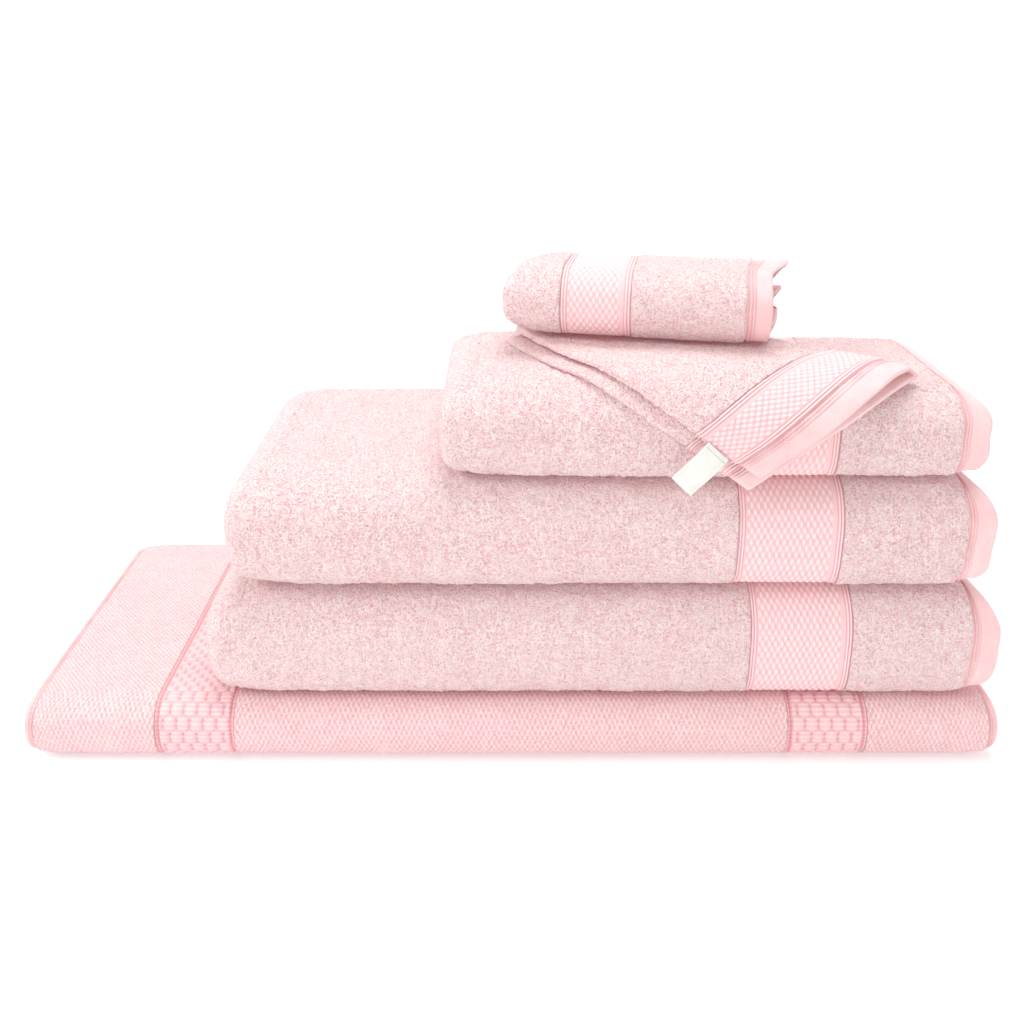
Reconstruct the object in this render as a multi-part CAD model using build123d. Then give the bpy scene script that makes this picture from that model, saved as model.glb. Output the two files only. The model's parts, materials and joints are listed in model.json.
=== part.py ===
from build123d import *
import os
from math import cos, radians, sin

os.makedirs("parts", exist_ok=True)

# Driving dimensions, millimetres. +X runs along the towels, -Y is the front, +Z is up.
REST_GAP = 0.3
LAYER_GAP = 0.6
TERRY_INSET = 0.0
BORDER_INSET = 1.4
HEM_INSET = 3.0
STITCH_WIDTH = 1.4
STITCH_PROUD = 0.6
STITCH_PITCH = 5.0

# Bath mat, folded once with the fold to the front.
MAT_LENGTH = 888.0
MAT_DEPTH = 320.0
MAT_HEIGHT = 60.0
MAT_HEM = 11.0
MAT_END_PANEL = 113.0
MAT_BORDER = 72.0

# Bath towels, folded in half end to end and then in thirds.
TOWEL_DEPTH = 260.0
TOWEL_HEM = 27.0
TOWEL_END_PANEL = 108.0
TOWEL_BORDER = 90.0
LOWER_LENGTH = 706.0
LOWER_HEIGHT = 111.0
LOWER_LEFT = -271.0
LOWER_FRONT = 8.0
UPPER_LENGTH = 665.0
UPPER_HEIGHT = 103.0
UPPER_LEFT = -247.0
UPPER_FRONT = 10.0

# Hand towel, folded the same way.
HAND_LENGTH = 464.0
HAND_DEPTH = 180.0
HAND_HEIGHT = 80.0
HAND_LEFT = -60.0
HAND_FRONT = 14.0
HAND_HEM = 27.0
HAND_END_PANEL = 104.0
HAND_BORDER = 84.0

# Face washer laid cornerwise over the hand towel, folded once into two plies.
WASHER_SIDE = 300.0
WASHER_PLY = 9.0
UPPER_HALF = 160.0
LOWER_HALF = 177.0
LOWER_PLY_OUT = 10.0
WASHER_HEM = 23.0
WASHER_BORDER = 44.0
TIP_X = 333.0
TIP_RUN = 96.0
HEM_TURN = 34.7
SIDE_TURN = 142.8
FAR_SIDE_TURN = 125.0
SIDE_BEND = 170.0
FLAP_RUN = 110.0
FLAP_DROP = 92.0
BACK_CLEAR = 6.0

# Sewn-in loop label on the edge of the upper ply.
LABEL_WIDTH = 23.0
LABEL_LENGTH = 44.0
LABEL_THICK = 1.0
LABEL_FROM_CORNER = 45.0
LABEL_TURN = 43.0
LABEL_OVERLAP = 4.0
LABEL_STITCH = 3.0
LABEL_MARGIN = 1.0
THREAD_THICK = 0.6

# Face washer folded into quarters on top.
TOP_LENGTH = 235.0
TOP_DEPTH = 88.0
TOP_HEIGHT = 64.0
TOP_HEM = 21.0
TOP_END_PANEL = 98.0
TOP_BORDER = 62.0
TOP_X = 113.0
TOP_Y = 121.0
TOP_TURN = -11.0

# Heights of the stack from the floor up.
LOWER_BASE = MAT_HEIGHT + REST_GAP
UPPER_BASE = LOWER_BASE + LOWER_HEIGHT + REST_GAP
HAND_BASE = UPPER_BASE + UPPER_HEIGHT + REST_GAP
HAND_TOP = HAND_BASE + HAND_HEIGHT
HAND_BACK = HAND_FRONT + HAND_DEPTH
HINGE_Y = HAND_FRONT + HAND_HEIGHT / 2
WASHER_TOP = HAND_TOP + 2 * REST_GAP + 2 * WASHER_PLY
TOP_BASE = WASHER_TOP + REST_GAP
FLAP_FRONT = HAND_FRONT - 2 * REST_GAP - 2 * WASHER_PLY
LABEL_FRONT = FLAP_FRONT + BORDER_INSET / 2 - REST_GAP - LABEL_THICK
STACK_FRONT = LABEL_FRONT - THREAD_THICK
DROP_RATIO = FLAP_DROP / FLAP_RUN
BACK_RUN = FLAP_RUN + HAND_BACK - HINGE_Y
CENTRE = Pos(0, -(MAT_DEPTH + STACK_FRONT) / 2, 0)


def run(y_from, y_to, z_from, z_to):
    """Straight length of folded cloth, seen end on."""
    middle = Pos((y_from + y_to) / 2, (z_from + z_to) / 2)
    return Plane.YZ * middle * Rectangle(y_to - y_from, z_to - z_from)


def bend(y, z, inner, outer, side):
    """Half ring of cloth round a fold; side is -1 at the front, +1 at the back."""
    ring = Circle(outer)
    if inner > 0:
        ring = ring - Circle(inner)
    half = ring & (Pos(side * outer / 2, 0) * Rectangle(outer, 2 * outer))
    return Plane.YZ * Pos(y, z) * half


def quarter(y, z, inner, outer, side):
    """Upper quarter ring of cloth going over an edge."""
    corner = Pos(side * outer / 2, outer / 2) * Rectangle(outer, outer)
    return Plane.YZ * Pos(y, z) * ((Circle(outer) - Circle(inner)) & corner)


def halves(depth, height, inset):
    """Cloth folded once, the fold at the front."""
    strip = (height - LAYER_GAP) / 2
    radius = height / 2
    low = run(radius, depth - inset, inset, strip - inset)
    high = run(radius, depth - inset, height - strip + inset, height - inset)
    front = bend(radius, radius, LAYER_GAP / 2 + inset, radius - inset, -1)
    return low + high + front


def thirds(depth, height, inset):
    """Cloth folded in three: one end goes inside the big front fold, the other on top."""
    strip = (height - 2 * LAYER_GAP) / 3
    radius = height / 2
    back_radius = strip + LAYER_GAP / 2
    back_y = depth - back_radius
    low = run(radius, back_y, inset, strip - inset)
    middle = run(radius, back_y, strip + LAYER_GAP + inset, 2 * strip + LAYER_GAP - inset)
    high = run(radius, depth - strip / 2 - inset, height - strip + inset, height - inset)
    front = bend(radius, radius, radius - strip + inset, radius - inset, -1)
    nose = bend(radius, radius, 0, strip / 2 - inset, -1)
    back = bend(back_y, back_radius, LAYER_GAP / 2 + inset, back_radius - inset, 1)
    return low + middle + high + front + nose + back


def quarters(depth, height, inset):
    """Cloth folded twice: one fold inside the other at the front, one more at the back."""
    strip = (height - 3 * LAYER_GAP) / 4
    step = strip + LAYER_GAP
    radius = height / 2
    back_radius = strip + LAYER_GAP / 2
    back_y = depth - back_radius
    section = bend(back_y, back_radius, LAYER_GAP / 2 + inset, back_radius - inset, 1)
    for layer in range(4):
        reach = back_y if layer < 2 else depth - inset
        base = layer * step
        section = section + run(radius, reach, base + inset, base + strip - inset)
    for nested in range(2):
        outer = radius - nested * step
        section = section + bend(radius, radius, outer - strip + inset, outer - inset, -1)
    return section


def length_of(fold, depth, height, inset, x_from, x_to):
    """Part of a folded cloth between two places along its length."""
    return Pos(x_from, 0, 0) * extrude(fold(depth, height, inset), amount=x_to - x_from)


def stitching_of(fold, depth, height, x_rows):
    """Rows of thread standing just proud of a hem."""
    proud = fold(depth, height, HEM_INSET - STITCH_PROUD) - fold(depth, height, HEM_INSET)
    row = extrude(proud, amount=STITCH_WIDTH)
    rows = [Pos(x, 0, 0) * row for x in x_rows]
    return rows[0] + rows[1]


def save(shape, name):
    """Write one node, centred over the footprint of the stack."""
    export_step(CENTRE * shape, f"parts/{name}.step")


def hemmed_nodes(prefix, fold, size, panels, place):
    """Terry, border, end panel, hem and hem stitching of a cloth with its ends on the right."""
    length, depth, height = size
    border, end_panel, hem = panels
    hem_x = length - hem
    panel_x = hem_x - end_panel
    border_x = panel_x - border
    spans = {
        "terry": (TERRY_INSET, 0, border_x),
        "border": (BORDER_INSET, border_x, panel_x),
        "end_terry": (TERRY_INSET, panel_x, hem_x),
    }
    for part, (inset, x_from, x_to) in spans.items():
        save(place * length_of(fold, depth, height, inset, x_from, x_to), f"{prefix}_{part}")
    rows = [hem_x + STITCH_PITCH, hem_x + 2 * STITCH_PITCH]
    stitching = stitching_of(fold, depth, height, rows)
    hem_solid = length_of(fold, depth, height, HEM_INSET, hem_x, length)
    save(place * hem_solid, f"{prefix}_hem")
    save(place * stitching, f"{prefix}_hem_stitching")


def mat_nodes():
    """Bath mat with a hem, an end panel and a border at each end."""
    hem_x = MAT_LENGTH / 2 - MAT_HEM
    panel_x = hem_x - MAT_END_PANEL
    border_x = panel_x - MAT_BORDER
    size = (MAT_DEPTH, MAT_HEIGHT)
    save(length_of(halves, *size, TERRY_INSET, -border_x, border_x), "mat_terry")
    for side, name in ((-1, "left"), (1, "right")):
        for part, inset, near, far in (
            ("border", BORDER_INSET, border_x, panel_x),
            ("end_terry", TERRY_INSET, panel_x, hem_x),
            ("hem", HEM_INSET, hem_x, MAT_LENGTH / 2),
        ):
            low, high = sorted((side * near, side * far))
            save(length_of(halves, *size, inset, low, high), f"mat_{part}_{name}")
        rows = [side * (hem_x + MAT_HEM * share) for share in (0.35, 0.7)]
        save(stitching_of(halves, *size, rows), f"mat_hem_stitching_{name}")


def heading(turn):
    """Direction on the opened-out cloth."""
    return cos(radians(turn)), sin(radians(turn))


def ply_spot(lower, from_fold, from_hem):
    """Place on a ply, as distance along the stack and run over its edge."""
    along, away, far_away = heading(HEM_TURN), heading(SIDE_TURN), heading(FAR_SIDE_TURN)
    near = min(from_hem, SIDE_BEND) - (LOWER_PLY_OUT if lower else 0)
    beyond = max(from_hem - SIDE_BEND, 0)
    x = TIP_X - from_fold * along[0] + near * away[0] + beyond * far_away[0]
    distance = TIP_RUN - from_fold * along[1] + near * away[1] + beyond * far_away[1]
    return x, distance


def ply_patch(lower, near, far):
    """Outline of a strip of one ply between two distances from its hem."""
    half = LOWER_HALF if lower else UPPER_HALF
    stops = [near, far]
    if near < SIDE_BEND < far:
        stops = [near, SIDE_BEND, far]
    free_side = [ply_spot(lower, half, stop) for stop in stops]
    fold_side = [ply_spot(lower, 0, stop) for stop in reversed(stops)]
    return free_side + fold_side


def flap_prism(patch):
    """The patch seen from the front, extruded through the stack."""
    points = [(x, WASHER_TOP - FLAP_DROP + distance * DROP_RATIO) for x, distance in patch]
    face = Plane.XZ * make_face(Polyline(*points, close=True))
    return extrude(face, amount=MAT_DEPTH, both=True)


def top_prism(patch):
    """The patch seen from above, extruded through the stack."""
    points = [(x, HINGE_Y + distance - FLAP_RUN) for x, distance in patch]
    return extrude(make_face(Polyline(*points, close=True)), amount=2 * HAND_TOP)


def back_prism(patch):
    """The patch where it hangs behind the hand towel, seen from the back."""
    room = WASHER_TOP - HAND_BASE - BACK_CLEAR
    longest = max(distance for x, distance in ply_patch(False, 0, WASHER_SIDE)) - BACK_RUN
    ratio = min(1, room / longest)
    points = [(x, WASHER_TOP + (BACK_RUN - distance) * ratio) for x, distance in patch]
    face = Plane.XZ * make_face(Polyline(*points, close=True))
    return extrude(face, amount=2 * MAT_DEPTH, both=True)


def ply_levels(lower):
    """Offsets of the two faces of a ply from the hand towel."""
    inner = REST_GAP if lower else 2 * REST_GAP + WASHER_PLY
    return inner, inner + WASHER_PLY


def ply_flap(lower, near, far, inset):
    """Part of a ply that goes over the front edge and hangs."""
    inner, outer = ply_levels(lower)
    radius = HAND_HEIGHT / 2
    centre_z = HAND_BASE + radius
    thin = (radius + inner + inset, radius + outer - inset)
    arc = quarter(HINGE_Y, centre_z, *thin, -1)
    hang = run(HINGE_Y - thin[1], HINGE_Y - thin[0], HAND_BASE - radius, centre_z)
    sheet = Pos(-MAT_LENGTH / 2, 0, 0) * extrude(arc + hang, amount=MAT_LENGTH)
    return sheet & flap_prism(ply_patch(lower, near, far))


def ply_top(lower, near, far, inset):
    """Part of a ply lying on the hand towel and hanging behind it."""
    inner, outer = ply_levels(lower)
    thin = (inner + inset, outer - inset)
    patch = ply_patch(lower, near, far)
    flat = run(HINGE_Y, HAND_BACK, HAND_TOP + thin[0], HAND_TOP + thin[1])
    wide = Pos(-MAT_LENGTH / 2, 0, 0)
    laid = (wide * extrude(flat, amount=MAT_LENGTH)) & top_prism(patch)
    if far < WASHER_SIDE:
        return laid
    over = quarter(HAND_BACK, HAND_TOP, *thin, 1)
    hang = run(HAND_BACK + thin[0], HAND_BACK + thin[1], UPPER_BASE, HAND_TOP)
    behind = (wide * extrude(over + hang, amount=MAT_LENGTH)) & back_prism(patch)
    return laid + behind


def draped_washer_nodes():
    """Two plies, each with hem, border and terry; the hems are wholly on the front corner."""
    border_end = WASHER_HEM + WASHER_BORDER
    parts = (
        ("hem", HEM_INSET / 2, 0, WASHER_HEM),
        ("border", BORDER_INSET / 2, WASHER_HEM, border_end),
        ("terry", TERRY_INSET, border_end, WASHER_SIDE),
    )
    for lower, ply in ((False, "outer"), (True, "inner")):
        for part, inset, near, far in parts:
            save(ply_flap(lower, near, far, inset), f"flap_{ply}_{part}")
            if part != "hem":
                save(ply_top(lower, near, far, inset), f"draped_{ply}_{part}")


def label_nodes():
    """Folded satin label hanging off the edge of the outer ply, and its stitching."""
    edge_x, edge_run = ply_spot(False, UPPER_HALF, LABEL_FROM_CORNER)
    edge_z = WASHER_TOP - FLAP_DROP + edge_run * DROP_RATIO
    place = Pos(edge_x, LABEL_FRONT, edge_z) * Rot(0, LABEL_TURN, 0) * Pos(0, 0, LABEL_OVERLAP)
    strip = Pos(0, LABEL_THICK / 2, -LABEL_LENGTH / 2)
    thread = Pos(0, -THREAD_THICK / 2, -LABEL_STITCH)
    thread_width = LABEL_WIDTH - 2 * LABEL_MARGIN
    save(place * strip * Box(LABEL_WIDTH, LABEL_THICK, LABEL_LENGTH), "washer_label")
    save(place * thread * Box(thread_width, THREAD_THICK, STITCH_WIDTH), "washer_label_stitching")


mat_nodes()
towel_panels = (TOWEL_BORDER, TOWEL_END_PANEL, TOWEL_HEM)
hemmed_nodes(
    "lower_towel",
    thirds,
    (LOWER_LENGTH, TOWEL_DEPTH, LOWER_HEIGHT),
    towel_panels,
    Pos(LOWER_LEFT, LOWER_FRONT, LOWER_BASE),
)
hemmed_nodes(
    "upper_towel",
    thirds,
    (UPPER_LENGTH, TOWEL_DEPTH, UPPER_HEIGHT),
    towel_panels,
    Pos(UPPER_LEFT, UPPER_FRONT, UPPER_BASE),
)
hemmed_nodes(
    "hand_towel",
    thirds,
    (HAND_LENGTH, HAND_DEPTH, HAND_HEIGHT),
    (HAND_BORDER, HAND_END_PANEL, HAND_HEM),
    Pos(HAND_LEFT, HAND_FRONT, HAND_BASE),
)
draped_washer_nodes()
label_nodes()
hemmed_nodes(
    "top_washer",
    quarters,
    (TOP_LENGTH, TOP_DEPTH, TOP_HEIGHT),
    (TOP_BORDER, TOP_END_PANEL, TOP_HEM),
    Pos(TOP_X, TOP_Y, TOP_BASE) * Rot(0, 0, TOP_TURN) * Pos(-TOP_LENGTH / 2, -TOP_DEPTH / 2, 0),
)
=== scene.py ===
import bpy
import json
import math
import numpy as np
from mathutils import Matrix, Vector


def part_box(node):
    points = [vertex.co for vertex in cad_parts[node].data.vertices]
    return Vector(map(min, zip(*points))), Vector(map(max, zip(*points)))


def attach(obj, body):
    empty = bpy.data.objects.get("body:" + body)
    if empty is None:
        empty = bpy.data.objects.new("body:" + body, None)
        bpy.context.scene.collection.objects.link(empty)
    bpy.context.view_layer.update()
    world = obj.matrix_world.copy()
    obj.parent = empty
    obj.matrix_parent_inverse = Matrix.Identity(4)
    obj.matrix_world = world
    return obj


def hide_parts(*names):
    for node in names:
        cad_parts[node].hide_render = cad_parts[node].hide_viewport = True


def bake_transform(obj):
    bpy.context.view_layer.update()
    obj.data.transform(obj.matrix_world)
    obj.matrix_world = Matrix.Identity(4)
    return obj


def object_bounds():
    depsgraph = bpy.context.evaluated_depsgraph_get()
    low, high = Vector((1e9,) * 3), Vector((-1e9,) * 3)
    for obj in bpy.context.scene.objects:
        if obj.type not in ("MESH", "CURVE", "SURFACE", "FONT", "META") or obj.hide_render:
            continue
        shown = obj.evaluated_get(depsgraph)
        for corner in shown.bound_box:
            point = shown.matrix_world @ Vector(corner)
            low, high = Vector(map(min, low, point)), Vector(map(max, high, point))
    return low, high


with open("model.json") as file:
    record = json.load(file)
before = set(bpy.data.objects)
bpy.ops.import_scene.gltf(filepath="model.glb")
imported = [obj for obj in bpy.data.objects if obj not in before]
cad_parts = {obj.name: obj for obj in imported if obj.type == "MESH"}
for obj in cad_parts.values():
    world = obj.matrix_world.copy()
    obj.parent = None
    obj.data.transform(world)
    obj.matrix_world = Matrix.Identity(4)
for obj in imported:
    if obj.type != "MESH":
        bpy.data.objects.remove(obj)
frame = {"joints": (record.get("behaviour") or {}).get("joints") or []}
CAD_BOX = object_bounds()

MM = 0.001
SQUARE = 2.3            # how square a fold's front is; 2 is round
SQUARE_LOW = 3.7        # the same below its middle, where it rests on the cloth beneath
STITCH_PITCH = 2.8      # mm from stitch to stitch
# Faint pink emission for the pink cloths, painted bounce light that keeps their shade and crevices light
# pink; the next colour is none, for the label.
PAINTED_BOUNCE_GLOW = (0.070, 0.028, 0.032)
NO_PAINTED_BOUNCE_GLOW = (0.0, 0.0, 0.0)
RNG = np.random.RandomState(7)
LATTICE = RNG.rand(256, 256)


# ---------------------------------------------------------------- numbers from the frame

def node_box(*names):
    """Box round several CAD nodes, as two arrays."""
    boxes = [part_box(n) for n in names]
    low = np.min([np.array(b[0]) for b in boxes], axis=0)
    high = np.max([np.array(b[1]) for b in boxes], axis=0)
    return low, high


def span(node, axis):
    low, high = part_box(node)
    return low[axis], high[axis]


# ---------------------------------------------------------------- noise

def noise(u, v, cell, seed=0):
    """Smooth random field from -1 to 1, with features about one cell wide."""
    u = np.asarray(u) / cell + 17.31 * seed
    v = np.asarray(v) / cell + 9.77 * seed
    iu, iv = np.floor(u).astype(int), np.floor(v).astype(int)
    fu, fv = u - iu, v - iv
    fu, fv = fu * fu * (3 - 2 * fu), fv * fv * (3 - 2 * fv)

    def at(a, b):
        return LATTICE[a % 256, b % 256]

    low = at(iu, iv) * (1 - fu) + at(iu + 1, iv) * fu
    high = at(iu, iv + 1) * (1 - fu) + at(iu + 1, iv + 1) * fu
    return 2 * (low * (1 - fv) + high * fv) - 1


def ridged(u, v, cell, seed=0):
    """Winding ridges, from about -1 in the hollows to 1 on the crests."""
    return 1 - 3.4 * np.abs(noise(u, v, cell, seed)).clip(0, 0.6)


def smooth(x, low, high):
    t = np.clip((x - low) / (high - low), 0, 1)
    return t * t * (3 - 2 * t)


# ---------------------------------------------------------------- folded cloth

class Path:
    """Middle line of a folded ply, seen end on, from lines and arcs in (a, l)."""

    def __init__(self):
        self.parts = []
        self.length = 0

    def line(self, start, end, out=2.0, inn=12.0):
        start, end = np.array(start, float), np.array(end, float)
        size = float(np.linalg.norm(end - start))
        self.parts.append(("line", start, end, size, out * MM, inn * MM))
        self.length += size
        return self

    def arc(self, centre, radius, turn_from, turn_to, out=2.0, inn=6.0):
        turns = (math.radians(turn_from), math.radians(turn_to))
        size = abs(turns[1] - turns[0]) * radius
        self.parts.append(("arc", np.array(centre, float), (radius, turns), size, out * MM, inn * MM))
        self.length += size
        return self

    def samples(self, side, fine=1.0):
        """Points, outward normals and distances along the path, spaced for one side."""
        points, normals, runs = [], [], []
        done = 0.0
        for k, (kind, a, b, size, out, inn) in enumerate(self.parts):
            step = out * fine if side > 0 else inn
            count = max(2 if kind == "arc" else 1, int(round(size / step)))
            t = np.linspace(0, 1, count + 1)
            if k:
                t = t[1:]
            if kind == "line":
                p = a + t[:, None] * (b - a)
                d = (b - a) / max(size, 1e-9)
                n = np.repeat([[d[1], -d[0]]], len(t), axis=0)
            else:
                radius, (t0, t1) = b
                w = t0 + t * (t1 - t0)
                ring = np.stack([np.cos(w), np.sin(w)], 1)
                p = a + radius * ring
                n = ring * (1 if t1 > t0 else -1)
            points.append(p)
            normals.append(n)
            runs.append(done + t * size)
            done += size
        return np.concatenate(points), np.concatenate(normals), np.concatenate(runs)


def loop_of(path, half, offset=0.0, trim=0.0, cap=6, fine=1.0):
    """Closed outline of a ply of that half thickness: base points, offsets, runs and sides."""
    base, off, run, side = [], [], [], []
    for sign in (1, -1):
        p, n, s = path.samples(sign, fine)
        if trim:
            keep = (s >= trim) & (s <= path.length - trim)
            p, n, s = p[keep], n[keep], s[keep]
        if sign < 0:
            p, n, s = p[::-1], n[::-1], s[::-1]
        base.append(p + n * offset)
        off.append(n * half * sign)
        run.append(s)
        side.append(np.full(len(s), float(sign)))
        p_end, n_end, s_end = p[-1], n[-1] * sign, s[-1]
        tangent = np.array([-n_end[1], n_end[0]])
        w = np.linspace(0, math.pi, cap + 2)[1:-1]
        base.append(np.repeat([p_end + n[-1] * offset], cap, axis=0))
        off.append(half * (np.cos(w)[:, None] * n_end + np.sin(w)[:, None] * tangent))
        run.append(s_end + sign * half * np.sin(w))
        side.append(np.cos(w) * sign)
    return [np.concatenate(x) for x in (base, off, run, side)]


def rows_between(low, high, step, round_low=0.0, round_high=0.0, turns=5):
    """Row places along the length, with how full the ply is at each."""
    u, fill = [], []
    if round_low:
        for k in range(turns):
            w = math.pi / 2 * (k + 0.35) / turns
            u.append(low + round_low * (1 - math.cos(w)))
            fill.append(math.sin(w))
    body_low = low + round_low
    body_high = high - round_high
    count = max(1, int(round((body_high - body_low) / step)))
    for x in np.linspace(body_low, body_high, count + 1):
        u.append(float(x))
        fill.append(1.0)
    if round_high:
        for k in reversed(range(turns)):
            w = math.pi / 2 * (k + 0.35) / turns
            u.append(high - round_high * (1 - math.cos(w)))
            fill.append(math.sin(w))
    return np.array(u), np.array(fill)


class Cloth:
    """Collects ribbons of folded cloth and turns them into one mesh."""

    def __init__(self):
        self.points, self.faces, self.uvs, self.relief = [], [], [], []
        self.count = 0

    def ribbon(self, path, half, rows, warp, relief=None, offset=0.0, trim=0.0,
               inside_out=False, cap=6, fine=1.0):
        """Adds one folded ply, closed all round; warp takes its points to their real places."""
        u, fill = rows
        base, off, run, side = loop_of(path, half, offset, trim, cap, fine)
        n_rows, n_loop = len(u), len(run)
        uu = np.repeat(u[:, None], n_loop, 1)
        ss = np.repeat(run[None], n_rows, 0)
        dd = np.repeat(side[None], n_rows, 0)
        unit = off / max(half, 1e-9)
        lift = np.zeros_like(uu)
        if relief is not None:
            lift = relief(uu, ss, dd)
        a = base[None, :, 0] + off[None, :, 0] * fill[:, None] + unit[None, :, 0] * lift * fill[:, None]
        l = base[None, :, 1] + off[None, :, 1] * fill[:, None] + unit[None, :, 1] * lift * fill[:, None]
        points = warp(uu.ravel(), a.ravel(), l.ravel())
        grid = np.arange(n_rows * n_loop).reshape(n_rows, n_loop) + self.count
        nxt = np.roll(grid, -1, axis=1)
        quads = np.stack([grid[:-1], nxt[:-1], nxt[1:], grid[1:]], -1).reshape(-1, 4)
        ends = [grid[0][::-1], grid[-1]]
        if inside_out:
            quads = quads[:, ::-1]
            ends = [e[::-1] for e in ends]
        self.points.append(points)
        self.faces.extend(quads.tolist())
        self.faces.extend([e.tolist() for e in ends])
        self.uvs.append(np.stack([uu.ravel(), ss.ravel()], 1))
        self.relief.append((lift / MM).ravel())
        self.count += n_rows * n_loop
        return self

    def stitches(self, path, half, rows_at, pitch, run_from, run_to, offset=0.0,
                 long=1.15, wide=0.42, high=0.4):
        """Small raised stitches in rows along the path, on its outer side."""
        p, n, s = path.samples(1)
        places = np.arange(run_from, run_to, pitch * MM)
        pa = np.stack([np.interp(places, s, p[:, k]) for k in (0, 1)], 1)
        na = np.stack([np.interp(places, s, n[:, k]) for k in (0, 1)], 1)
        na /= np.linalg.norm(na, axis=1)[:, None]
        ta = np.stack([-na[:, 1], na[:, 0]], 1)
        rings = ((-1.0, 0.25), (-0.55, 0.9), (0.55, 0.9), (1.0, 0.25))
        sides = 6
        for x in rows_at:
            for k in range(len(places)):
                for along, girth in rings:
                    for w in np.arange(sides) * 2 * math.pi / sides:
                        across = math.cos(w) * wide * girth * MM
                        up = (math.sin(w) * girth + 0.35) * high * MM
                        c = pa[k] + na[k] * (half + offset + up) + ta[k] * along * long * MM
                        self.stitch_points.append((x + across, c[0], c[1]))
                start = self.stitch_count
                for r in range(len(rings) - 1):
                    for w in range(sides):
                        a0 = start + r * sides + w
                        a1 = start + r * sides + (w + 1) % sides
                        self.stitch_faces.append([a0, a1, a1 + sides, a0 + sides])
                self.stitch_faces.append([start + w for w in reversed(range(sides))])
                last = start + (len(rings) - 1) * sides
                self.stitch_faces.append([last + w for w in range(sides)])
                self.stitch_count += len(rings) * sides
        return self

    def stitched(self, warp):
        """Adds the collected stitches to the mesh."""
        q = np.array(self.stitch_points)
        points = warp(q[:, 0], q[:, 1], q[:, 2])
        self.faces.extend([[i + self.count for i in f] for f in self.stitch_faces])
        self.points.append(points)
        self.uvs.append(q[:, :2])
        self.relief.append(np.zeros(len(q)))
        self.count += len(q)
        return self

    stitch_points = None
    stitch_faces = None
    stitch_count = 0

    def begin_stitches(self):
        self.stitch_points, self.stitch_faces, self.stitch_count = [], [], 0
        return self

    def build(self, name, material, slot):
        points = np.concatenate(self.points)
        mesh = bpy.data.meshes.new(name)
        mesh.from_pydata(points.tolist(), [], self.faces)
        mesh.update()
        corner = np.empty(len(mesh.loops), int)
        mesh.loops.foreach_get("vertex_index", corner)
        uv = mesh.uv_layers.new(name="cloth")
        uv.data.foreach_set("uv", np.concatenate(self.uvs)[corner].ravel())
        # Relief height per point in mm; the cloth materials colour low points darker with it, painted shade
        # in the hollows.
        height = mesh.attributes.new("relief", "FLOAT", "POINT")
        height.data.foreach_set("value", np.concatenate(self.relief))
        mesh.polygons.foreach_set("use_smooth", [True] * len(mesh.polygons))
        if volume_of(mesh) < 0:
            mesh.flip_normals()
        obj = bpy.data.objects.new(name, mesh)
        bpy.context.scene.collection.objects.link(obj)
        mesh.materials.append(material)
        return obj


def volume_of(mesh):
    mesh.calc_loop_triangles()
    tri = np.empty(len(mesh.loop_triangles) * 3, int)
    mesh.loop_triangles.foreach_get("vertices", tri)
    co = np.empty(len(mesh.vertices) * 3)
    mesh.vertices.foreach_get("co", co)
    a, b, c = (co.reshape(-1, 3)[tri.reshape(-1, 3)[:, k]] for k in range(3))
    return float((a * np.cross(b, c)).sum() / 6)


# ---------------------------------------------------------------- materials

def socket(node, *names):
    for n in names:
        if n in node.inputs:
            return node.inputs[n]
    raise KeyError(names)


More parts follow.
